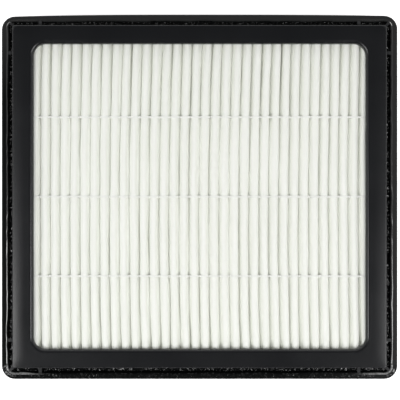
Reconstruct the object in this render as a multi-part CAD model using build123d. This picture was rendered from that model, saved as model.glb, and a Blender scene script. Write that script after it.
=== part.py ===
from build123d import *
import math
import os

# Exhaust filter cassette of a vacuum cleaner, lying with its front face up.
# Millimetres. +X runs across the pleats, +Y along them, +Z out of the front face.
# The origin is on the plane of the back rim, in the middle of the cassette.

# Frame moulding
frame_length = 119.0  # across the pleats, over the walls
frame_width = 109.0  # along the pleats, over the walls
frame_depth = 25.0  # back rim to front face
wall = 1.6
frame_corner = 0.8  # outer corners of the walls
cavity_corner = 1.0  # inner corners of the walls
flange_thickness = 2.0
flange_side = 6.7  # breadth of the flange beside the outermost pleats
flange_end = 6.0  # breadth of the flange over the ends of the pleats
opening_corner = 3.8
opening_edge = 1.2  # rounding where the front face turns down into the opening
face_edge = 0.4  # rounding along the outer edge of the front face
rim_edge = 0.3  # rounding along the outer edge of the back rim

# Rubber ring, pressed over a tongue on the walls
seal_reach_x = 3.5  # how far the ring stands out from the walls across the pleats
seal_reach_y = 3.65  # the same along the pleats
seal_corner = 4.2
seal_height = 6.0
seal_clearance = 0.05  # between the rubber and the moulding
lip_thickness = 2.0
lip_drop = 0.8  # top of the lip below the front face
lip_outer_round = 1.0
lip_inner_round = 0.35
foot_round = 0.8
channel_drop = 2.8  # floor of the channel between lip and wall, below the front face
tongue_reach = 2.0
tongue_thickness = 1.5
tongue_cover = 1.5  # rubber between the tongue and the floor of the channel

# Ribs that stand in the channel and keep the lip off the walls
rib_thickness = 1.0
corner_rib_thickness = 0.8
rib_drop = 1.0  # top of the ribs below the front face
rib_from_corner = 8.8  # from the frame's corner to the middle of the nearest rib

# Folded filter sheet
pleat_pitch = 3.15
media_thickness = 0.5
quarter_flats = 3  # flats that make up a quarter turn of a fold
rear_recess = 3.2  # back rim to the rear folds
tip_clearance = 0.2  # front folds to the underside of the flange
side_potting_least = 1.0  # adhesive beside the outermost pleats, at least
end_potting = 2.1  # adhesive at the two open ends of the pleats
potting_proud = 0.4  # how far the adhesive stands past the rear folds

# Rows of hot melt that keep the pleats apart
bead_pitch = 25.4
bead_width = 1.2
bead_stop = 8.0  # end of the hot melt in a valley, before the folds of the other face

# Worked out from the values above
cavity_length = frame_length - 2 * wall
cavity_width = frame_width - 2 * wall
flange_low = frame_depth - flange_thickness
opening_length = frame_length - 2 * flange_side
opening_width = frame_width - 2 * flange_end
seal_length = frame_length + 2 * seal_reach_x
seal_width = frame_width + 2 * seal_reach_y
lip_high = frame_depth - lip_drop
seal_low = lip_high - seal_height
channel_floor = frame_depth - channel_drop
channel_length = seal_length - 2 * lip_thickness
channel_width = seal_width - 2 * lip_thickness
channel_corner = seal_corner - lip_thickness
tongue_high = channel_floor - tongue_cover
tongue_low = tongue_high - tongue_thickness

fold_radius = pleat_pitch / 4  # middle of the sheet, in a fold
outer_fold = fold_radius + media_thickness / 2
pleat_pairs = int((cavity_length - 2 * side_potting_least) / pleat_pitch / 2)
pleat_count = 2 * pleat_pairs
pack_length = (pleat_count - 1) * pleat_pitch + 2 * outer_fold
media_length = cavity_width - 2 * end_potting
media_high = flange_low - tip_clearance
media_low = rear_recess
front_folds = [(k - (pleat_count - 1) / 2) * pleat_pitch for k in range(pleat_count)]
rear_folds = [x + pleat_pitch / 2 for x in front_folds[:-1]]


def slab(length, width, corner, low, high):
    """A block with rounded upright edges, centred on the Z axis, between two heights."""
    return Pos(0, 0, low) * extrude(RectangleRounded(length, width, corner), high - low)


def edges_at(shape, height):
    """The edges that lie flat at one height."""
    return shape.edges().filter_by_position(Axis.Z, height, height)


def loop_within(shape, height, length, width):
    """The edges at one height whose middles lie inside a centred rectangle."""
    return edges_at(shape, height).filter_by(
        lambda edge: abs(edge.center().X) < length / 2 and abs(edge.center().Y) < width / 2
    )


def across_pleats(outline, y, width):
    """A closed outline of points in X and Z, made a solid of the given width centred on y."""
    face = Plane.XZ * make_face(Polyline(outline, close=True))
    return Pos(0, y, 0) * extrude(face, width / 2, both=True)


def side_ribs():
    """Two ribs on each wall, near its corners."""
    rib_high = frame_depth - rib_drop
    rib_low = channel_floor + seal_clearance
    upright = (Align.CENTER, Align.CENTER, Align.MIN)
    across_x = frame_length / 2 - rib_from_corner
    across_y = frame_width / 2 - rib_from_corner
    height = rib_high - rib_low
    ribs = []
    for side in (-1, 1):
        ribs.append(Pos(side * across_x, 0, rib_low) * Box(rib_thickness, seal_width, height, align=upright))
        ribs.append(Pos(0, side * across_y, rib_low) * Box(seal_length, rib_thickness, height, align=upright))
    return ribs


def corner_ribs():
    """One rib across the channel at each corner, at 45 degrees."""
    rib_high = frame_depth - rib_drop
    rib_low = channel_floor + seal_clearance
    upright = (Align.CENTER, Align.CENTER, Align.MIN)
    length = 2 * (seal_reach_x + seal_reach_y)
    blade = Box(length, corner_rib_thickness, rib_high - rib_low, align=upright)
    ribs = []
    for side_x in (-1, 1):
        for side_y in (-1, 1):
            corner = Pos(side_x * frame_length / 2, side_y * frame_width / 2, rib_low)
            ribs.append(corner * Rot(0, 0, side_x * side_y * 45) * blade)
    return ribs


def frame():
    """One moulding: walls, front flange with its opening, tongue and ribs."""
    body = slab(frame_length, frame_width, frame_corner, 0, frame_depth)
    body = fillet(edges_at(body, frame_depth), face_edge)
    body = fillet(edges_at(body, 0), rim_edge)
    body += slab(
        frame_length + 2 * tongue_reach,
        frame_width + 2 * tongue_reach,
        frame_corner + tongue_reach,
        tongue_low,
        tongue_high,
    )
    reach_x = channel_length - 2 * seal_clearance
    reach_y = channel_width - 2 * seal_clearance
    reach = slab(reach_x, reach_y, channel_corner - seal_clearance, channel_floor, frame_depth)
    for rib in side_ribs() + corner_ribs():
        body += rib & reach
    body -= slab(cavity_length, cavity_width, cavity_corner, 0, flange_low)
    body -= slab(opening_length, opening_width, opening_corner, flange_low, frame_depth)
    halfway_x = (opening_length + frame_length) / 2
    halfway_y = (opening_width + frame_width) / 2
    return fillet(loop_within(body, frame_depth, halfway_x, halfway_y), opening_edge)


def seal():
    """Rubber ring with a slot over the tongue and a round lip that stands off the walls."""
    body = slab(seal_length, seal_width, seal_corner, seal_low, lip_high)
    body = fillet(edges_at(body, lip_high), lip_outer_round)
    body = fillet(edges_at(body, seal_low), foot_round)
    body -= slab(
        frame_length + 2 * seal_clearance,
        frame_width + 2 * seal_clearance,
        frame_corner + seal_clearance,
        seal_low,
        lip_high,
    )
    body -= slab(channel_length, channel_width, channel_corner, channel_floor, lip_high)
    body -= slab(
        frame_length + 2 * tongue_reach + 2 * seal_clearance,
        frame_width + 2 * tongue_reach + 2 * seal_clearance,
        frame_corner + tongue_reach + seal_clearance,
        tongue_low - seal_clearance,
        tongue_high + seal_clearance,
    )
    mid_lip_x = channel_length + lip_thickness - lip_outer_round
    mid_lip_y = channel_width + lip_thickness - lip_outer_round
    return fillet(loop_within(body, lip_high, mid_lip_x, mid_lip_y), lip_inner_round)


def turn(x, z, radius, first, last):
    """Points round a fold, evenly spaced on an arc between two angles in degrees."""
    flats = round(quarter_flats * abs(last - first) / 90)
    angles = [math.radians(first + (last - first) * k / flats) for k in range(flats + 1)]
    return [(x + radius * math.cos(a), z + radius * math.sin(a)) for a in angles]


def sheet_side(offset):
    """One side of the folded sheet, from left to right, at an offset from its middle."""
    tip = fold_radius + offset
    valley = fold_radius - offset
    tip_z = media_high - outer_fold
    valley_z = media_low + outer_fold
    points = [(front_folds[0] - tip, media_low)]
    for front, rear in zip(front_folds, rear_folds):
        points += turn(front, tip_z, tip, 180, 0)
        points += turn(rear, valley_z, valley, 180, 360)
    points += turn(front_folds[-1], tip_z, tip, 180, 0)
    points.append((front_folds[-1] + tip, media_low))
    return points


def pleated_media():
    """One sheet, folded to and fro with round folds and upright legs."""
    half = media_thickness / 2
    outline = sheet_side(half) + sheet_side(-half)[::-1]
    return across_pleats(outline, 0, media_length)


def bead_outline(folds, level, inward):
    """A row of hot melt: a strip over the folds with a tooth down each valley between them."""
    crest = level - inward * tip_clearance
    shoulder = level + inward * outer_fold
    foot = level + inward * (media_high - media_low - bead_stop)
    crown = -inward * 90
    points = [(folds[0], crest)]
    points += turn(folds[0], shoulder, outer_fold, crown, 0)
    for left, right in zip(folds[:-1], folds[1:]):
        points += [(left + outer_fold, foot), (right - outer_fold, foot)]
        points += turn(right, shoulder, outer_fold, 2 * crown, 0)
    del points[-quarter_flats:]  # the strip ends over the middle of the last fold
    points.append((folds[-1], crest))
    return points


def potting():
    """Adhesive that fills the space between the walls and the pleats, all round."""
    low = media_low - potting_proud
    body = slab(cavity_length, cavity_width, cavity_corner, low, flange_low)
    height = flange_low - low
    hole = Box(pack_length, media_length, height, align=(Align.CENTER, Align.CENTER, Align.MIN))
    return body - Pos(0, 0, low) * hole


os.makedirs("parts", exist_ok=True)
export_step(frame(), "parts/frame.step")
export_step(seal(), "parts/seal.step")
export_step(pleated_media(), "parts/pleated_media.step")
export_step(potting(), "parts/potting.step")
for row, name in enumerate(("lower", "middle", "upper")):
    y = (row - 1) * bead_pitch
    front = bead_outline(front_folds, media_high, -1)
    rear = bead_outline(rear_folds, media_low, 1)
    export_step(across_pleats(front, y, bead_width), f"parts/front_separator_{name}.step")
    export_step(across_pleats(rear, y, bead_width), f"parts/back_separator_{name}.step")
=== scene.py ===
import math

import bpy
import numpy as np
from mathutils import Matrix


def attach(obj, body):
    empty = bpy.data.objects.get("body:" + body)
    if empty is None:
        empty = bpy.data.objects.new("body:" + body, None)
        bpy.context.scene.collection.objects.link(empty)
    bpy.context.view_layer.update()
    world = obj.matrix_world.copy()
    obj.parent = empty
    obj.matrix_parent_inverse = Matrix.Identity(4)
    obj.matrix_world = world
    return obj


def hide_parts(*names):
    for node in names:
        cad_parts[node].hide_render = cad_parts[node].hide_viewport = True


# A vacuum cleaner's pleated filter cassette, lying with its front face up.
# Lengths are millimetres in the frame's axes: X across the pleats, Y along them, Z up.
# Scales of the materials' noise are waves to a metre.
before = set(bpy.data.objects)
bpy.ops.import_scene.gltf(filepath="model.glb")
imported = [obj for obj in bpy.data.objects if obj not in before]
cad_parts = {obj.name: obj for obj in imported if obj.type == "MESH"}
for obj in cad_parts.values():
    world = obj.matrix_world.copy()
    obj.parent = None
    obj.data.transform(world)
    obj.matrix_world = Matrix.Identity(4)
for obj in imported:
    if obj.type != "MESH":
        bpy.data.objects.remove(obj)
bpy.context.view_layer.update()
mm = 0.001
print("stage: frame loaded")


def smoothStep(low, high, value):
    # 0 at low, 1 at high, and a cubic with level ends between them
    t = np.clip((value - low) / (high - low), 0.0, 1.0)
    return t * t * (3.0 - 2.0 * t)


def band(edges, value):
    # rises from 0 to 1 between the first two edges, and falls back to 0 between the last two
    return smoothStep(edges[0], edges[1], value) * smoothStep(edges[3], edges[2], value)


def softNoise(rng, count, wavelength, at):
    # count smooth random curves: random heights at evenly spaced knots, joined by cosine steps
    start = at.min() - wavelength
    place = (at - start) / wavelength
    knots = rng.uniform(-1.0, 1.0, (count, int(place.max()) + 3))
    whole = np.floor(place).astype(int)
    part = (1.0 - np.cos(np.pi * (place - whole))) / 2.0
    return knots[:, whole] * (1.0 - part) + knots[:, whole + 1] * part


def gridFaces(rows, cols, closedRows=False, closedCols=False):
    # four-cornered faces between neighbours of a rows by cols grid, joined round where it is closed
    r, c = np.meshgrid(
        np.arange(rows if closedRows else rows - 1),
        np.arange(cols if closedCols else cols - 1),
        indexing="ij",
    )
    rNext = (r + 1) % rows
    cNext = (c + 1) % cols
    corners = (r * cols + c, r * cols + cNext, rNext * cols + cNext, rNext * cols + c)
    return np.stack(corners, axis=-1).reshape(-1, 4)


def slab(nearX, nearZ, farX, farZ, y):
    # what lies between two sheets over one grid: a loop round both at each point of the path, ends capped
    count, rows = nearX.shape
    loopX = np.concatenate([nearX, farX[:, ::-1]], axis=1)
    loopZ = np.concatenate([nearZ, farZ[:, ::-1]], axis=1)
    loopY = np.tile(np.concatenate([y, y[::-1]]), (count, 1))
    points = np.stack([loopX, loopY, loopZ], axis=2).reshape(-1, 3)
    cols = 2 * rows
    k = np.arange(rows - 1)
    first = np.stack([k, cols - 1 - k, cols - 2 - k, k + 1], axis=1)
    last = first[:, ::-1] + (count - 1) * cols
    return points, np.concatenate([gridFaces(count, cols, closedCols=True), first, last])


def signedVolume(points, faces):
    # sum of the tetrahedra between the origin and each half of each face: positive if faces point out
    a, b, c, d = (points[faces[:, k]] for k in range(4))
    halves = np.einsum("ij,ij->i", a, np.cross(b, c)) + np.einsum("ij,ij->i", a, np.cross(c, d))
    return halves.sum() / 6.0


def makePiece(name, points, faces, material, replaced):
    # a closed surface from points in millimetres, turned to face outwards and set in place of its solid
    if signedVolume(points, faces) < 0.0:
        faces = faces[:, ::-1]
    mesh = bpy.data.meshes.new(name)
    mesh.from_pydata((points * mm).tolist(), [], faces.tolist())
    mesh.shade_smooth()
    mesh.materials.append(material)
    piece = bpy.data.objects.new(name, mesh)
    bpy.context.collection.objects.link(piece)
    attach(piece, "root")
    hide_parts(replaced)
    return piece


def addAttribute(piece, name, values):
    # one number for each point, which the piece's material reads
    layer = piece.data.attributes.new(name, "FLOAT", "POINT")
    layer.data.foreach_set("value", values.astype(np.float32))


# Nodes that the materials are put together from
def mathNode(tree, operation, *values):
    # values are numbers or sockets
    node = tree.nodes.new("ShaderNodeMath")
    node.operation = operation
    for socket, value in zip(node.inputs, values):
        if isinstance(value, (int, float)):
            socket.default_value = value
        else:
            tree.links.new(value, socket)
    return node.outputs[0]


def vectorNode(tree, operation, *values):
    node = tree.nodes.new("ShaderNodeVectorMath")
    node.operation = operation
    for socket, value in zip(node.inputs, values):
        tree.links.new(value, socket)
    return node.outputs["Vector"]


def splitNode(tree, vector):
    node = tree.nodes.new("ShaderNodeSeparateXYZ")
    tree.links.new(vector, node.inputs["Vector"])
    return node.outputs


def attributeNode(tree, name):
    node = tree.nodes.new("ShaderNodeAttribute")
    node.attribute_name = name
    return node.outputs["Fac"]


def noiseNode(tree, vector, scale, detail):
    # scale is a number or a socket
    node = tree.nodes.new("ShaderNodeTexNoise")
    node.inputs["Detail"].default_value = detail
    tree.links.new(vector, node.inputs["Vector"])
    if isinstance(scale, (int, float)):
        node.inputs["Scale"].default_value = scale
    else:
        tree.links.new(scale, node.inputs["Scale"])
    return node.outputs["Fac"]


def rangeNode(tree, value, given, wanted):
    # the given range of a value turned into the wanted one, and held at its ends
    node = tree.nodes.new("ShaderNodeMapRange")
    tree.links.new(value, node.inputs["Value"])
    node.inputs["From Min"].default_value, node.inputs["From Max"].default_value = given
    node.inputs["To Min"].default_value, node.inputs["To Max"].default_value = wanted
    return node.outputs["Result"]


def mixColours(tree, factor, dark, light):
    node = tree.nodes.new("ShaderNodeMix")
    node.data_type = "RGBA"
    tree.links.new(factor, node.inputs["Factor"])
    for label, colour in (("A", dark), ("B", light)):
        socket = [one for one in node.inputs if one.name == label and one.type == "RGBA"][0]
        socket.default_value = (*colour, 1.0)
    return [one for one in node.outputs if one.type == "RGBA"][0]


def addBump(tree, shader, height, strength, depth, socket="Normal"):
    # depth is how many millimetres a height of 1 stands up
    bump = tree.nodes.new("ShaderNodeBump")
    bump.inputs["Strength"].default_value = strength
    bump.inputs["Distance"].default_value = depth * mm
    tree.links.new(height, bump.inputs["Height"])
    tree.links.new(bump.outputs["Normal"], shader.inputs[socket])


def newMaterial(name, roughness, specular):
    material = bpy.data.materials.new(name)
    material.use_nodes = True
    shader = material.node_tree.nodes["Principled BSDF"]
    shader.inputs["Roughness"].default_value = roughness
    shader.inputs["Specular IOR Level"].default_value = specular
    place = material.node_tree.nodes.new("ShaderNodeTexCoord")
    return material, material.node_tree, shader, place.outputs["Object"]


# Node groups
def newGroup(name, inputs, outputs):
    group = bpy.data.node_groups.new(name, "ShaderNodeTree")
    for label, kind, value in inputs:
        socket = group.interface.new_socket(label, in_out="INPUT", socket_type=kind)
        if value is not None:
            socket.default_value = value
    for label, kind in outputs:
        group.interface.new_socket(label, in_out="OUTPUT", socket_type=kind)
    return group, group.nodes.new("NodeGroupInput"), group.nodes.new("NodeGroupOutput")


def useGroup(tree, group, vector, **values):
    node = tree.nodes.new("ShaderNodeGroup")
    node.node_tree = group
    tree.links.new(vector, node.inputs["Vector"])
    for label, value in values.items():
        node.inputs[label].default_value = value
    return node.outputs


def buildGrainGroup():
    # moulded skin: fine grain for the bump, and broad patches for colour and gloss
    inputs = (("Vector", "NodeSocketVector", None), ("Grain", "NodeSocketFloat", 2500.0),
              ("Patches", "NodeSocketFloat", 60.0))
    outputs = (("Height", "NodeSocketFloat"), ("Patch", "NodeSocketFloat"))
    group, source, result = newGroup("mouldedSkin", inputs, outputs)
    fine = noiseNode(group, source.outputs["Vector"], source.outputs["Grain"], detail=3.0)
    broad = noiseNode(group, source.outputs["Vector"], source.outputs["Patches"], detail=4.0)
    group.links.new(fine, result.inputs["Height"])
    group.links.new(broad, result.inputs["Patch"])
    return group


def buildStreakGroup():
    # fibres and faint creases that run along Y: noise drawn out along the pleats, over a fine felt
    inputs = (("Vector", "NodeSocketVector", None), ("Across", "NodeSocketFloat", 1400.0),
              ("Along", "NodeSocketFloat", 60.0), ("Felt", "NodeSocketFloat", 4000.0))
    outputs = (("Streaks", "NodeSocketFloat"), ("Felt", "NodeSocketFloat"))
    group, source, result = newGroup("fibreStreaks", inputs, outputs)
    combine = group.nodes.new("ShaderNodeCombineXYZ")
    for axis, label in (("X", "Across"), ("Y", "Along"), ("Z", "Across")):
        group.links.new(source.outputs[label], combine.inputs[axis])
    stretched = vectorNode(group, "MULTIPLY", source.outputs["Vector"], combine.outputs["Vector"])
    streaks = noiseNode(group, stretched, 1.0, detail=3.0)
    felt = noiseNode(group, source.outputs["Vector"], source.outputs["Felt"], detail=2.0)
    group.links.new(streaks, result.inputs["Streaks"])
    group.links.new(felt, result.inputs["Felt"])
    return group


grainGroup = buildGrainGroup()
streakGroup = buildStreakGroup()


# Satin black moulding of the frame, whose front face falls away a little towards its outer edge, with a
# painted highlight along that edge
frameFinish = {
    "dark": (0.0042, 0.0047, 0.0058),
    "light": (0.0068, 0.0074, 0.0088),
    "grain": 1800.0,
    "patches": 45.0,
    "patchRange": (0.3, 0.7),  # of the noise, over which the gloss changes
    "roughness": (0.22, 0.27),
    "specular": 0.5,
    "grainHeight": 0.006,
    "halfX": 59.5,  # the front face's half length and half width
    "halfY": 54.5,
    "cornerBlend": 3.0,  # how softly its sides meet
    "domeReach": 4.2,
    "domeDrop": 0.24,
    "domeRight": 0.62,  # share of the drop on the right
    "domeMiddle": 30.0,  # distance from the middle, over which the drop changes to that share
    "paintedHighlightEdges": (0.08, 0.4),  # a painted highlight: a paler line along the outer edge: where it starts to fade and ends
    "paintedHighlight": 0.02,  # how much paler the painted highlight makes it
}


def edgeDistance(tree, place, s):
    # metres inwards from the face's outline: the least distance to its sides, blended at the corners
    away = splitNode(tree, vectorNode(tree, "ABSOLUTE", place))
    insideX = mathNode(tree, "SUBTRACT", s["halfX"] * mm, away["X"])
    insideY = mathNode(tree, "SUBTRACT", s["halfY"] * mm, away["Y"])
    return mathNode(tree, "SMOOTH_MIN", insideX, insideY, s["cornerBlend"] * mm)


def buildFramePlastic(s):
    material, tree, shader, place = newMaterial("framePlastic", s["roughness"][0], s["specular"])
    skin = useGroup(tree, grainGroup, place, Grain=s["grain"], Patches=s["patches"])
    colour = mixColours(tree, skin["Patch"], s["dark"], s["light"])
    inward = edgeDistance(tree, place, s)
    # painted highlight: the colour is made paler just inside the outer edge
    edgeHighlight = rangeNode(tree, inward, [edge * mm for edge in s["paintedHighlightEdges"]], (s["paintedHighlight"], 0.0))
    tree.links.new(vectorNode(tree, "ADD", colour, edgeHighlight), shader.inputs["Base Color"])
    roughness = rangeNode(tree, skin["Patch"], s["patchRange"], s["roughness"])
    tree.links.new(roughness, shader.inputs["Roughness"])
    # the dome: drop x (1 - distance inwards / reach) squared, with less drop on the right
    outer = rangeNode(tree, inward, (0.0, s["domeReach"] * mm), (1.0, 0.0))
    middle = s["domeMiddle"] * mm
    drops = (-s["domeDrop"], -s["domeDrop"] * s["domeRight"])
    drop = rangeNode(tree, splitNode(tree, place)["X"], (-middle, middle), drops)
    dome = mathNode(tree, "MULTIPLY", mathNode(tree, "MULTIPLY", outer, outer), drop)
    grain = mathNode(tree, "MULTIPLY", skin["Height"], s["grainHeight"])
    addBump(tree, shader, mathNode(tree, "ADD", dome, grain), strength=1.0, depth=1.0)
    return material


# Black rubber: a dull lip with a shining inner edge, and a rough, speckled floor in the channel behind it;
# painted light makes the lip paler on the right and upper sides, and a painted glint lies on its inner edge
# at the lower corners
rubberFinish = {
    "dark": (0.0024, 0.0028, 0.0029),
    "light": (0.0046, 0.0051, 0.0051),
    "grain": 1500.0,
    "patches": 80.0,
    "roughness": 0.5,
    "specular": 0.03,
    "coatRoughness": 0.13,  # of the shining places
    "coatIor": 2.15,
    "reachX": 63.0,  # the ring's half length and half width
    "reachY": 58.0,
    "paintedLightRange": (0.55, 0.95),  # shares of them, over which painted light comes in on the right and at the top
    "paintedLight": 0.021,
    "paintedLightInChannel": 0.1,  # share of it that the channel's floor shows
    "specks": 1300.0,
    "speckRange": (0.5, 0.64),
    "paintedGlintRange": (0.3, 0.65),  # of the skin's grain
    "paintedGlint": (0.04, 0.3),  # how pale the painted glint on the inner edge is in the grain's hollows and on its tops
    "lumps": 900.0,
    "lumpHeight": 0.4,
    "grainShare": 0.08,  # height of the skin's grain against the lumps
    "bumpStrength": 0.9,
}


def buildSealRubber(s):
    material, tree, shader, place = newMaterial("sealRubber", s["roughness"], s["specular"])
    skin = useGroup(tree, grainGroup, place, Grain=s["grain"], Patches=s["patches"])
    colour = mixColours(tree, skin["Patch"], s["dark"], s["light"])
    at = splitNode(tree, place)
    shareX = mathNode(tree, "MULTIPLY", at["X"], 1.0 / (s["reachX"] * mm))
    shareY = mathNode(tree, "MULTIPLY", at["Y"], 1.0 / (s["reachY"] * mm))
    far = mathNode(tree, "MAXIMUM", shareX, shareY)
    lumpy = attributeNode(tree, "lumpy")
    onLip = rangeNode(tree, lumpy, (0.0, 1.0), (1.0, s["paintedLightInChannel"]))
    # painted light: the lip's colour grows paler towards the right and the top, and a little in the channel
    paintedLight = mathNode(tree, "MULTIPLY", rangeNode(tree, far, s["paintedLightRange"], (0.0, s["paintedLight"])), onLip)
    # painted glint: a pale streak on the inner edge at the lower corners, mottled by the skin's grain
    glintMottle = rangeNode(tree, skin["Height"], s["paintedGlintRange"], s["paintedGlint"])
    paintedGlint = mathNode(tree, "MULTIPLY", attributeNode(tree, "paintedGlint"), glintMottle)
    pale = mathNode(tree, "ADD", paintedLight, paintedGlint)
    tree.links.new(vectorNode(tree, "ADD", colour, pale), shader.inputs["Base Color"])
    specks = rangeNode(tree, noiseNode(tree, place, s["specks"], detail=2.0), s["speckRange"], (0.0, 1.0))
    inChannel = mathNode(tree, "MULTIPLY", lumpy, specks)
    shine = mathNode(tree, "MAXIMUM", attributeNode(tree, "glossy"), inChannel)
    tree.links.new(shine, shader.inputs["Coat Weight"])
    shader.inputs["Coat Roughness"].default_value = s["coatRoughness"]
    shader.inputs["Coat IOR"].default_value = s["coatIor"]
    lumps = mathNode(tree, "MULTIPLY", lumpy, noiseNode(tree, place, s["lumps"], detail=4.0))
    fine = mathNode(tree, "MULTIPLY", skin["Height"], s["grainShare"])
    addBump(tree, shader, mathNode(tree, "ADD", lumps, fine), s["bumpStrength"], s["lumpHeight"])
    addBump(tree, shader, lumps, s["bumpStrength"], s["lumpHeight"], "Coat Normal")
    return material


# White glass-fibre sheet
sheetFinish = {
    "dark": (0.92, 0.935, 0.875),
    "light": (0.955, 0.965, 0.92),
    "roughness": 0.85,
    "specular": 0.2,
    "across": 1400.0,  # the fibres run along the pleats
    "along": 60.0,
    "felt": 4000.0,
    "streakRange": (0.3, 0.7),  # of the noise, from the dark colour to the light one
    "feltShare": 0.3,
    "bumpStrength": 0.25,
    "fibreHeight": 0.1,
}


def buildFilterMedia(s):
    material, tree, shader, place = newMaterial("filterMedia", s["roughness"], s["specular"])
    fibres = useGroup(tree, streakGroup, place, Across=s["across"], Along=s["along"], Felt=s["felt"])
    tone = rangeNode(tree, fibres["Streaks"], s["streakRange"], (0.0, 1.0))
    tree.links.new(mixColours(tree, tone, s["dark"], s["light"]), shader.inputs["Base Color"])
    felt = mathNode(tree, "MULTIPLY", fibres["Felt"], s["feltShare"])
    height = mathNode(tree, "ADD", fibres["Streaks"], felt)
    addBump(tree, shader, height, s["bumpStrength"], s["fibreHeight"])
    return material


# Two adhesives: milky hot melt, a little glossier than the sheet, and creamy potting round the pack
hotMeltFinish = {
    "dark": (0.86, 0.87, 0.83),
    "light": (0.92, 0.93, 0.89),
    "roughness": 0.5,
    "specular": 0.25,
    "grain": 900.0,
    "patches": 200.0,
    "bumpStrength": 0.2,
    "grainHeight": 0.2,
}
pottingFinish = {
    "dark": (0.62, 0.58, 0.46),
    "light": (0.74, 0.71, 0.6),
    "roughness": 0.35,
    "specular": 0.5,
    "grain": 500.0,
    "patches": 90.0,
    "bumpStrength": 0.35,
    "grainHeight": 0.6,
}


def buildAdhesive(name, s):
    material, tree, shader, place = newMaterial(name, s["roughness"], s["specular"])
    skin = useGroup(tree, grainGroup, place, Grain=s["grain"], Patches=s["patches"])
    tree.links.new(mixColours(tree, skin["Patch"], s["dark"], s["light"]), shader.inputs["Base Color"])
    addBump(tree, shader, skin["Height"], s["bumpStrength"], s["grainHeight"])
    return material


framePlastic = buildFramePlastic(frameFinish)
sealRubber = buildSealRubber(rubberFinish)
filterMedia = buildFilterMedia(sheetFinish)
hotMelt = buildAdhesive("hotMelt", hotMeltFinish)
pottingAdhesive = buildAdhesive("pottingAdhesive", pottingFinish)
print("stage: materials built")


# The frame and the potting keep their solids
def dressNode(nodeName, material):
    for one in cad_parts[nodeName].material_slots:
        one.material = material


dressNode("frame", framePlastic)
dressNode("potting", pottingAdhesive)


# Rubber ring: a closed section carried round a rounded rectangle
sealSettings = {
    "wallLength": 119.1,  # inside of the ring, across the pleats
    "wallWidth": 109.1,
    "wallCorner": 0.85,
    "reachX": 3.45,  # the section's breadth on the short and on the long sides
    "reachY": 3.6,
    "outerCorner": 4.2,
    "cornerSteps": 8,
    "step": 0.7,  # along the ring
    "low": 18.2,
    "high": 24.2,
    "floor": 22.2,
    # the section's points are shares of the breadth, 0 at the wall and 1 outside, with heights
    "foot": ((0.0, 0.0), (0.35, 0.0), (0.77, 0.0), (0.9, 0.15), (0.975, 0.42), (1.0, 0.8)),  # above low
    "outside": ((1.0, 20.6), (1.0, 22.2)),
    "outerShare": 0.29,  # breadth and drop of the lip's outer round
    "outerDrop": 1.0,
    "outerAngles": (0, 20, 40, 60, 80),
    "lipShare": 0.65,  # where the lip's inner face stands, counted from outside
    "roundShare": 0.245,  # breadth and drop of its rounded inner edge
    "roundDrop": 0.85,
    "roundAngles": (0, 8, 16, 25, 36, 50, 68, 90),
    "lipFace": (22.9, 22.6),
    "lipFoot": (0.02, 0.15),  # how far the face's foot stands out from it and above the floor
    "floorGaps": (0.05, 0.04),  # between the floor's points and the lip, and the wall
    "floorPoints": 10,
    "wallPoint": 21.5,
    "slotShare": 0.58,
    "slotLow": 19.1,
    "slotHigh": 20.75,
    "topInset": 0.2,  # how far the upper side stands in at its middle
    "topLeft": 0.6,  # and how much further at its left and right ends
    "topRight": 0.35,
    "topRange": (0.8, 1.0),  # shares of the half width that count as the upper side
    "waver": 0.14,  # how far the lip's inner edge wanders sideways and up
    "waverUp": 0.06,
    "waverHeights": (22.6, 23.5),  # where it starts and is full
    "waverReach": (0.26, 0.05),  # shares of the breadth from the edge, where it ends and is full
    "waverCentre": 0.02,
    "waverSteps": (7.0, 3.0),  # wavelengths, in steps along the ring
    "waverSecond": 0.6,
    "upSteps": 9.0,
    "lumps": 0.1,  # height of the lumps on the channel's floor
    "lumpBand": 0.2,  # points this close to the floor's height have them
    "lumpEdges": (0.02, 0.08, 0.06, 0.01),  # shares: out from the wall, then in and out from the lip
    "dullRight": 0.75,  # gloss of the right side's inner edge, against the left one's
    "shineBand": (0.0, 0.12, 0.55, 0.85),  # shares of the rounded inner edge
    "sideRange": (0.8, 0.9),  # shares of the half length, from which the edge shines
    "paintedGlintRange": (0.82, 0.94),  # and from which it carries a painted glint in the lower corners
    "lowerRange": (0.97, 0.99),  # shares of the half width that count as the lower side
    "lowerLumps": 0.5,  # lumpiness of the lower side's lip
    "lipTop": 0.5,  # this far below its top, and from its edge over this share of the breadth
    "lipFade": 0.1,
    "seed": 4,
}


def roundedRectangle(length, width, corner, sides, turns):
    # anticlockwise from the upper end of the right side: centre of each corner + radius x its turn,
    # then the straight after it by shares of its length
    centres = np.array(((1, 1), (-1, 1), (-1, -1), (1, -1))) * (length / 2.0 - corner, width / 2.0 - corner)
    points = []
    for k in range(4):
        turn = (k + turns) * math.pi / 2.0
        arc = centres[k] + corner * np.stack([np.cos(turn), np.sin(turn)], axis=1)
        square = (k + 1) * math.pi / 2.0
        offset = corner * np.array([math.cos(square), math.sin(square)])
        start = centres[k] + offset
        end = centres[(k + 1) % 4] + offset
        points += [arc, start + (end - start) * sides[k][:, None]]
    return np.concatenate(points)


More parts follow.
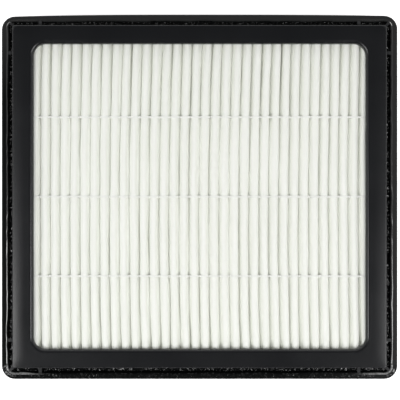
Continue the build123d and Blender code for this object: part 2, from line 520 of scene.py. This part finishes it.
def ringSection(s):
    # from the wall's foot outwards, up the outer face, over the lip, along the floor and down the wall:
    # straight lines, and rounds as share + breadth x (1 - sin), height - drop x (1 - cos)
    lip = 1.0 - s["lipShare"]
    section = [(share, s["low"] + rise) for share, rise in s["foot"]]
    section += s["outside"]
    for a in np.radians(s["outerAngles"]):
        share = 1.0 - s["outerShare"] * (1.0 - math.cos(a))
        section.append((share, s["high"] - s["outerDrop"] * (1.0 - math.sin(a))))
    for a in np.radians(s["roundAngles"]):
        share = lip + s["roundShare"] * (1.0 - math.sin(a))
        section.append((share, s["high"] - s["roundDrop"] * (1.0 - math.cos(a))))
    section += [(lip, height) for height in s["lipFace"]]
    section.append((lip - s["lipFoot"][0], s["floor"] + s["lipFoot"][1]))
    fromLip, fromWall = s["floorGaps"]
    section += [(share, s["floor"]) for share in np.linspace(lip - fromLip, fromWall, s["floorPoints"])]
    section += [(0.0, s["floor"]), (0.0, s["wallPoint"]), (0.0, s["slotHigh"])]
    section += [(s["slotShare"], s["slotHigh"]), (s["slotShare"], s["slotLow"]), (0.0, s["slotLow"])]
    return np.array(section)


def wanderRing(s, share, height, lip):
    # lip's inner edge + mask x smooth noise round the ring, sideways and up; floor + mask x random lumps
    rng = np.random.default_rng(s["seed"])
    around = np.arange(len(share)).astype(float)
    toEdge = np.abs(share - lip - s["waverCentre"])
    nearLip = smoothStep(*s["waverHeights"], height) * smoothStep(*s["waverReach"], toEdge)
    fromWall, fullWall, inLip, outLip = s["lumpEdges"]
    onFloor = np.abs(height - s["floor"]) < s["lumpBand"]
    nearFloor = band((fromWall, fullWall, lip - inLip, lip + outLip), share) * onFloor
    wave = softNoise(rng, 1, s["waverSteps"][0], around)[0]
    wave = wave + s["waverSecond"] * softNoise(rng, 1, s["waverSteps"][1], around)[0]
    up = softNoise(rng, 1, s["upSteps"], around)[0]
    share = share + nearLip * (s["waver"] / s["reachX"]) * wave[:, None]
    height = height + nearLip * s["waverUp"] * up[:, None]
    return share, height + nearFloor * s["lumps"] * rng.uniform(-1.0, 1.0, height.shape)


def buildSeal(s):
    # point = wall outline + share of the breadth x (outer outline - wall outline), at the section's height
    turns = np.linspace(0.0, 1.0, s["cornerSteps"] + 1)[:-1]
    lengths = (s["wallLength"], s["wallWidth"], s["wallLength"], s["wallWidth"])
    sides = [np.linspace(0.0, 1.0, int(one / s["step"]))[:-1] for one in lengths]
    inner = roundedRectangle(s["wallLength"], s["wallWidth"], s["wallCorner"], sides, turns)
    outerLength = s["wallLength"] + 2.0 * s["reachX"]
    outerWidth = s["wallWidth"] + 2.0 * s["reachY"]
    outer = roundedRectangle(outerLength, outerWidth, s["outerCorner"], sides, turns)
    halfX = s["wallLength"] / 2.0
    halfY = s["wallWidth"] / 2.0
    end = np.clip(outer[:, 0] / halfX, -1.0, 1.0)
    inset = s["topInset"] + np.where(end < 0.0, s["topLeft"], s["topRight"]) * np.abs(end) ** 3
    outer[:, 1] -= inset * smoothStep(*s["topRange"], outer[:, 1] / halfY)
    section = ringSection(s)
    lip = 1.0 - s["lipShare"]
    rows = len(inner)
    share, height = wanderRing(s, np.tile(section[:, 0], (rows, 1)), np.tile(section[:, 1], (rows, 1)), lip)
    plan = inner[:, None, :] + (outer - inner)[:, None, :] * share[:, :, None]
    points = np.concatenate([plan, height[:, :, None]], axis=2).reshape(-1, 3)
    faces = gridFaces(rows, len(section), closedRows=True, closedCols=True)
    piece = makePiece("sealRing", points, faces, sealRubber, "seal")
    # masks for the rubber: places along the ring x places round its section
    above = section[:, 1] > s["slotHigh"]
    onEdge = above * band(s["shineBand"], (lip + s["roundShare"] - section[:, 0]) / s["roundShare"])
    away = np.abs(inner[:, 0]) / halfX
    atFoot = smoothStep(*s["lowerRange"], -inner[:, 1] / halfY)
    onSide = smoothStep(*s["sideRange"], away) * np.where(inner[:, 0] < 0.0, 1.0, s["dullRight"])
    # painted glint: where the inner edge is made pale in the two lower corners
    glintCorners = atFoot * smoothStep(*s["paintedGlintRange"], away)
    onFloor = above * (section[:, 0] <= lip)
    onTop = section[:, 1] > s["high"] - s["lipTop"]
    onLip = onTop * smoothStep(lip, lip + s["lipFade"], section[:, 0])
    addAttribute(piece, "glossy", np.outer(onSide, onEdge).ravel())
    addAttribute(piece, "paintedGlint", np.outer(glintCorners, onEdge).ravel())
    addAttribute(piece, "lumpy", (onFloor + s["lowerLumps"] * np.outer(atFoot, onLip)).ravel())


buildSeal(sealSettings)
print("stage: seal built")


# Folded sheet: a serpentine path across the pleats, carried along them
mediaSettings = {
    "pleats": 36,
    "pitch": 3.15,
    "stretch": 0.45,  # how much further out the last folds stand than the pitch alone puts them
    "thickness": 0.5,
    "front": 22.8,  # height of the front folds
    "rear": 3.2,
    "length": 101.6,
    "crestSteps": 8,  # faces round a front fold
    "rearSteps": 6,
    "legShares": (0.35, 0.65, 0.85, 0.97, 1.05, 1.1),  # a leg's points: shares of its valley's depth
    "legLeans": (0.1, 0.3, 0.6, 0.87, 0.985, 1.0),  # how far it has leaned over by each
    "rearDepth": 1.2,  # a leg's point above a rear fold's shoulder
    "rows": 42,
    "beads": (-25.4, 0.0, 25.4),
    "beadMargin": 0.7,  # rows of points on either side of a bead
    "knots": 204,  # places along a fold where its waver is worked out
    "touch": 0.02,  # what is left of a valley where its legs lean together
    "closing": 0.95,  # depth below the shoulder at which they do, at mid length
    "closingEnds": 0.28,  # and how much deeper at the ends
    "closingSpread": 0.22,
    "closingWaves": 19.0,
    "closingLimits": (0.35, 2.0),
    "ownShare": 0.5,  # a valley's own offset, against its waves
    "crestSwell": 0.06,  # share of the lean that the crest takes up
    "crestSpread": 0.12,
    "crestWaves": 13.0,
    "crestLimits": (0.0, 0.9),
    "crestFade": 0.8,  # height above the shoulder at which a crest stops leaning
    "shoulderSlack": 0.01,
    "outward": 0.6,  # how much more a fold's side towards the middle of the pack leans than its other side
    "outwardTurn": (-0.5, 0.5),  # shares of the half length between which that side changes
    "bowSides": (-0.095, 0.0, 0.41),  # common sideways bow, as a polynomial of the place along the pleats
    "bowMiddle": (-0.095, 0.33, 0.56),  # what the middle of the pack adds to it
    "wander": 0.15,
    "wanderWaves": (17.0, 8.0),
    "shortShare": 0.5,
    "heights": 0.05,
    "heightWaves": 20.0,
    "heightMean": -0.8,
    "foldHeld": (0.35, 8.0),  # how free a fold is at a bead, and how far from it it is quite free
    "valleyHeld": (0.3, 7.0),
    "foldOnly": 2.0,  # within this of its fold, a leg follows that fold alone
    "rearSwell": 0.1,  # how far a rear fold swells to either side
    "rearFull": 0.2,  # height over its end up to which it has all of that
    "seed": 12,
    # where the valleys are shallower or deeper: change of their depth and of the crests' share
    "patches": (
        {"x": 16.0, "y": 12.0, "reachX": 19.0, "reachY": 13.0, "depth": -0.25, "crest": 0.35},
        {"x": 14.0, "y": 34.0, "reachX": 30.0, "reachY": 12.0, "depth": 0.25, "crest": -0.1},
        {"x": 16.0, "y": -13.0, "reachX": 22.0, "reachY": 11.0, "depth": 0.1, "crest": -0.1},
        {"x": -35.0, "y": 10.0, "reachX": 25.0, "reachY": 40.0, "depth": -0.2, "crest": 0.05},
    ),
    "patchEdge": 0.4,  # share of a patch's reach that has the full change
}


def alongRows(s):
    # places along the pleats: evenly spaced, and two more at each bead
    extra = np.array([bead + side for bead in s["beads"] for side in (-s["beadMargin"], s["beadMargin"])])
    base = np.linspace(-s["length"] / 2.0, s["length"] / 2.0, s["rows"] - len(extra))
    return np.sort(np.concatenate([base, extra]))


def sheetPath(s):
    # one row per point: x, z, number of its front fold, number of its rear fold, side of the fold,
    # place on its leg or -1
    radius = s["pitch"] / 4.0
    outer = radius + s["thickness"] / 2.0
    tipZ = s["front"] - outer
    rearZ = s["rear"] + outer
    tips = (np.arange(s["pleats"]) - (s["pleats"] - 1) / 2.0) * s["pitch"]
    crest = np.radians(np.linspace(180.0, 0.0, s["crestSteps"] + 1))
    rearTurn = np.radians(np.linspace(180.0, 360.0, s["rearSteps"] + 1))
    leg = [(tipZ, j) for j in range(len(s["legShares"]))]
    leg += [((tipZ + rearZ) / 2.0, -1), (rearZ + s["rearDepth"], -1)]
    rows = []
    for k, x in enumerate(tips):
        if k == 0:
            rows += [(x - radius, z, k, k, -1.0, j) for z, j in [(s["rear"], -1)] + leg[::-1]]
        for a in crest:
            rows.append((x + radius * math.cos(a), tipZ + radius * math.sin(a), k, k, math.cos(a), -1))
        rows += [(x + radius, z, k, k, 1.0, j) for z, j in leg]
        if k + 1 < len(tips):
            middle = x + s["pitch"] / 2.0
            for a in rearTurn:
                own = k if math.cos(a) < 0 else k + 1
                turnX = middle + radius * math.cos(a)
                rows.append((turnX, rearZ + radius * math.sin(a), own, k, -math.cos(a), -1))
            rows += [(x + s["pitch"] - radius, z, k + 1, k, -1.0, j) for z, j in leg[::-1]]
        else:
            rows.append((x + radius, s["rear"], k, k, 1.0, -1))
    return np.array(rows), tips


def freedom(s, y, held):
    # 1, and less near a row of hot melt: the first of held at it, growing over the second
    away = np.min(np.abs(y[:, None] - np.array(s["beads"])), axis=1)
    return held[0] + (1.0 - held[0]) * smoothStep(0.0, held[1], away)


def valleyShapes(s, rng, knots, places):
    # depth at which each valley closes and share of the lean that its crests take up, along it:
    # mean + spread x (smooth noise, calmer at the beads, + an offset of the valley's own) + patches
    free = freedom(s, knots, s["valleyHeld"])
    count = len(places)

    def uneven(wavelength):
        wave = free * softNoise(rng, count, wavelength, knots)
        return wave + s["ownShare"] * rng.uniform(-1.0, 1.0, (count, 1))

    toEnds = (2.0 * knots / s["length"]) ** 2
    depth = s["closing"] + s["closingEnds"] * toEnds + s["closingSpread"] * uneven(s["closingWaves"])
    crest = s["crestSwell"] + s["crestSpread"] * uneven(s["crestWaves"])
    for one in s["patches"]:
        farX = (places[:, None] - one["x"]) / one["reachX"]
        farY = (knots[None, :] - one["y"]) / one["reachY"]
        inPatch = smoothStep(1.0, s["patchEdge"], np.hypot(farX, farY))
        depth = depth + one["depth"] * inPatch
        crest = crest + one["crest"] * inPatch
    return np.clip(depth, *s["closingLimits"]), np.clip(crest, *s["crestLimits"])


def foldShifts(s, rng, knots, tips):
    # along each fold: sideways shift of its front, of its rear, and lift of its front.
    # Shift = smooth noise, calmer at the beads, + common bow; a front also stands outwards by its place
    count = len(tips)
    free = freedom(s, knots, s["foldHeld"])
    longWaves, shortWaves = s["wanderWaves"]
    wave = softNoise(rng, count, longWaves, knots)
    wave = wave + s["shortShare"] * softNoise(rng, count, shortWaves, knots)
    drift = s["wander"] * wave * free
    rearDrift = s["wander"] * softNoise(rng, count, longWaves, knots) * free
    lift = s["heights"] * (softNoise(rng, count, s["heightWaves"], knots) + s["heightMean"])
    out = tips[:, None] / tips[-1]
    along = 2.0 * knots[None, :] / s["length"]
    bow = np.polynomial.polynomial.polyval(along, s["bowSides"])
    bow = bow + np.polynomial.polynomial.polyval(along, s["bowMiddle"]) * (1.0 - out ** 2)
    outward = s["outward"] * (2.0 * smoothStep(*s["outwardTurn"], out) - 1.0)
    room = (s["pitch"] / 2.0 - s["thickness"] - s["touch"]) / 2.0
    return drift + (bow + s["stretch"] * out + room * outward), rearDrift + bow, lift, outward


def sheetCentre(s, y):
    # middle of the sheet at each point of the path and each y:
    # x = path + shifts of its front and rear folds, blended by height,
    #     + side x (half the valley's gap x lean - swelling of the rear folds),
    # z = path - share of its valley's depth + lift of its front fold
    path, tips = sheetPath(s)
    rng = np.random.default_rng(s["seed"])
    knots = np.linspace(-s["length"] / 2.0, s["length"] / 2.0, s["knots"])
    shifts, rearShifts, lift, outward = foldShifts(s, rng, knots, tips)
    places = np.append(tips - s["pitch"] / 2.0, tips[-1] + s["pitch"] / 2.0)
    depths, crests = valleyShapes(s, rng, knots, places)

    def at(table, number):
        return np.stack([np.interp(y, knots, row) for row in table])[number]

    x, z, side = path[:, 0, None], path[:, 1, None], path[:, 4, None]
    tip, rear, place = path[:, [2, 3, 5]].astype(int).T
    valley = tip + (path[:, 4] > 0)
    depth = at(depths, valley)
    crest = at(crests, valley)
    outer = (s["pitch"] / 2.0 + s["thickness"]) / 2.0
    spans = np.diff(tips[:, None] + shifts, axis=0)
    spans = np.pad(spans, ((1, 1), (0, 0)), constant_values=s["pitch"])
    halfGap = (at(spans, valley) - 2.0 * outer - s["touch"]) / 2.0
    onLeg = (place >= 0)[:, None]
    share = np.array(s["legShares"])[np.maximum(place, 0)][:, None]
    legLean = np.array(s["legLeans"])[np.maximum(place, 0)][:, None]
    aboveShoulder = z - s["front"] + outer
    onCrest = aboveShoulder > -s["shoulderSlack"]
    crestLean = crest * smoothStep(s["crestFade"], 0.0, aboveShoulder) * onCrest
    lean = np.where(onLeg, crest + (1.0 - crest) * legLean, crestLean) * (1.0 - side * outward[tip])
    rearSwell = s["rearSwell"] * smoothStep(outer, s["rearFull"], z - s["rear"])
    pz = z - np.where(onLeg, share * depth, 0.0)
    weight = smoothStep(s["rear"] + s["foldOnly"], s["front"] - s["foldOnly"], pz)
    shift = weight * at(shifts, tip) + (1.0 - weight) * at(rearShifts, rear)
    return x + shift + side * (halfGap * lean - rearSwell), pz + weight * at(lift, tip)


def offsetSheet(px, pz, distance):
    # the sheet's middle moved square to itself, by the direction between each point's neighbours
    dx = np.gradient(px, axis=0)
    dz = np.gradient(pz, axis=0)
    size = np.hypot(dx, dz)
    return px - distance * dz / size, pz + distance * dx / size


def buildMedia(s):
    # front and back of the sheet: its middle moved half its thickness to either side
    y = alongRows(s)
    px, pz = sheetCentre(s, y)
    half = s["thickness"] / 2.0
    points, faces = slab(*offsetSheet(px, pz, half), *offsetSheet(px, pz, -half), y)
    makePiece("filterSheet", points, faces, filterMedia, "pleated_media")


buildMedia(mediaSettings)
print("stage: filter sheet built")


# Rows of hot melt: a strip over the folds with a tooth down each valley
beadSettings = {
    "width": 0.75,
    "acrossSteps": 8,
    "cover": 0.02,  # height over the folds
    "sag": 0.85,  # how far the strip dips between folds
    "sagFrom": 0.3,  # share of the way to the valley at which it starts to
    "sagSpread": 0.5,
    "sagWaves": 2.0,  # in folds
    "rounding": 0.3,  # how far its edges fall away there
    "edgeFall": 0.05,  # and on the folds
    "reach": 11.5,  # how deep the teeth go
    "toothFrom": 1.0,  # depth from which their upper edge turns to the valley's middle
    "bed": 0.06,  # how deep it sits in the sheet
    "crownSide": 0.2,  # a point this near to a fold's middle and top counts as its crown
    "crownDepth": 2.0,
    "seed": 31,
}


def buildBead(name, replaced, y, facing):
    # lower edge: the sheet's own face down to the tooth's foot.
    # Upper edge: a line over the folds that dips between them
    s = mediaSettings
    b = beadSettings
    rng = np.random.default_rng(b["seed"] + int(10 * abs(y)) + facing)
    across = -np.cos(np.linspace(0.0, math.pi, b["acrossSteps"] + 1))
    places = y + across * b["width"] / 2.0
    px, pz = sheetCentre(s, places)
    faceX, faceZ = offsetSheet(px, pz, facing * (s["thickness"] / 2.0 - b["bed"]))
    path = sheetPath(s)[0]
    side = facing * path[:, 4]
    fold = (path[:, 2] if facing > 0 else path[:, 3]).astype(int)
    level = s["front"] if facing > 0 else s["rear"]
    depth = facing * (level - pz[:, 0])
    crown = np.flatnonzero((np.abs(side) < b["crownSide"]) & (depth < b["crownDepth"]))
    keep = depth < b["reach"]
    keep[: crown[0]] = False
    keep[crown[-1] + 1:] = False
    lowX, lowZ, number, side, depth = faceX[keep], faceZ[keep], fold[keep], side[keep], depth[keep]
    # tops of the folds, and one more beyond each end of the row
    crownX = np.concatenate([faceX[crown[:1]] - s["pitch"], faceX[crown], faceX[crown[-1:]] + s["pitch"]])
    crownZ = faceZ[np.concatenate([crown[:1], crown, crown[-1:]])] + facing * b["bed"]
    own = number - number[0] + 1
    other = own + np.where(side > 0, 1, -1)
    toValley = (crownX[other] - crownX[own]) / 2.0
    share = np.clip(np.abs(lowX - crownX[own]) / np.abs(toValley), 0.0, 1.0)
    share = np.maximum(share, smoothStep(b["toothFrom"], b["reach"], depth)[:, None])
    topX = crownX[own] + toValley * share
    crest = crownZ[own] + (crownZ[other] - crownZ[own]) / 2.0 * smoothStep(0.0, 1.0, share)
    wave = softNoise(rng, 1, b["sagWaves"], np.minimum(own, other).astype(float))[0]
    swell = np.sqrt(np.clip(1.0 - across ** 2, 0.0, 1.0))[None, :]
    dip = smoothStep(b["sagFrom"], 1.0, share)
    sag = b["sag"] * (1.0 + b["sagSpread"] * wave[:, None]) * dip
    fall = (b["edgeFall"] + b["rounding"] * dip) * (1.0 - swell)
    topZ = crest + facing * (b["cover"] * swell - sag - fall)
    points, faces = slab(lowX, lowZ, topX, topZ, places)
    makePiece(name, points, faces, hotMelt, replaced)


for beadName, beadY in zip(("lower", "middle", "upper"), mediaSettings["beads"]):
    buildBead("frontBead." + beadName, "front_separator_" + beadName, beadY, 1)
    buildBead("backBead." + beadName, "back_separator_" + beadName, beadY, -1)
print("stage: hot melt built")


# Floor, walls and camera
studioSettings = {
    "floorSize": 4000.0,
    "floorColour": (0.93, 0.93, 0.93),
    "floorMottle": 0.99,  # share of the colour in its darker spots
    "floorTooth": 400.0,
    "floorLift": 0.8,  # what the floor gives off to the camera and to mirrored and refracted views
    "ceiling": 0.11,
    "walls": 1.0,
    "ceilingRange": (0.35, 0.75),  # heights of the view's direction between which the walls turn to ceiling
    "dimmed": 0.1,  # what is left of the wall in front
    "dimmedRange": (-0.1, -0.6),
    "frontFace": 25.0,
    "cameraHeight": 500.0,  # over the front face
    "pixel": 0.3175,  # millimetres to a pixel of the photograph at the front face
    "pictureSide": 400,
    "centreX": 0.14,
    "centreY": -1.11,
    "sensor": 36.0,
    "clipEnd": 20000.0,
}
lampSettings = {
    "leftBox": {"at": (-420.0, -260.0, 600.0), "sizeX": 400.0, "sizeY": 450.0, "radiance": 6.1},
    "rightBox": {"at": (395.0, -260.0, 600.0), "sizeX": 350.0, "sizeY": 450.0, "radiance": 6.3},
}


def buildFloor(s):
    half = s["floorSize"] / 2.0 * mm
    corners = [(-half, -half, 0), (half, -half, 0), (half, half, 0), (-half, half, 0)]
    mesh = bpy.data.meshes.new("floor")
    mesh.from_pydata(corners, [], [(0, 1, 2, 3)])
    floor = bpy.data.objects.new("floor", mesh)
    bpy.context.collection.objects.link(floor)
    material, tree, shader, place = newMaterial("floorPaper", roughness=0.9, specular=0.1)
    tooth = noiseNode(tree, place, s["floorTooth"], detail=3.0)
    low = tuple(one * s["floorMottle"] for one in s["floorColour"])
    tree.links.new(mixColours(tree, tooth, low, s["floorColour"]), shader.inputs["Base Color"])
    # seen by the camera, in mirrored surfaces and through clear ones, the floor is white
    path = tree.nodes.new("ShaderNodeLightPath")
    mirrored = mathNode(tree, "MAXIMUM", path.outputs["Is Glossy Ray"], path.outputs["Is Transmission Ray"])
    looking = mathNode(tree, "MAXIMUM", path.outputs["Is Camera Ray"], mirrored)
    lift = mathNode(tree, "MULTIPLY", looking, s["floorLift"])
    shader.inputs["Emission Color"].default_value = (1.0, 1.0, 1.0, 1.0)
    tree.links.new(lift, shader.inputs["Emission Strength"])
    mesh.materials.append(material)


def buildWorld(s):
    # a plain studio: pale walls near the horizon, a darker ceiling
    world = bpy.data.worlds.new("studio")
    bpy.context.scene.world = world
    world.use_nodes = True
    tree = world.node_tree
    place = tree.nodes.new("ShaderNodeTexCoord")
    direction = splitNode(tree, place.outputs["Generated"])
    level = rangeNode(tree, direction["Z"], s["ceilingRange"], (s["walls"], s["ceiling"]))
    dimmed = rangeNode(tree, direction["Y"], s["dimmedRange"], (1.0, s["dimmed"]))
    background = tree.nodes["Background"]
    background.inputs["Color"].default_value = (1.0, 1.0, 1.0, 1.0)
    tree.links.new(mathNode(tree, "MULTIPLY", level, dimmed), background.inputs["Strength"])


def buildLamps(lamps):
    # level soft boxes; power = pi x radiance x area
    for name, one in lamps.items():
        light = bpy.data.lights.new(name, "AREA")
        light.shape = "RECTANGLE"
        light.size = one["sizeX"] * mm
        light.size_y = one["sizeY"] * mm
        light.energy = math.pi * one["radiance"] * light.size * light.size_y
        lamp = bpy.data.objects.new(name, light)
        lamp.location = [c * mm for c in one["at"]]
        bpy.context.collection.objects.link(lamp)


def buildCamera(s):
    # looks straight down, so that the photograph's side spans the same width at the front face
    data = bpy.data.cameras.new("camera")
    data.sensor_width = s["sensor"]
    data.lens = s["sensor"] * s["cameraHeight"] / (s["pixel"] * s["pictureSide"])
    data.clip_end = s["clipEnd"] * mm
    camera = bpy.data.objects.new("camera", data)
    camera.location = (s["centreX"] * mm, s["centreY"] * mm, (s["cameraHeight"] + s["frontFace"]) * mm)
    bpy.context.collection.objects.link(camera)
    bpy.context.scene.camera = camera


buildFloor(studioSettings)
buildWorld(studioSettings)
buildLamps(lampSettings)
buildCamera(studioSettings)
bpy.context.scene.view_settings.view_transform = "Standard"
print("stage: studio built")
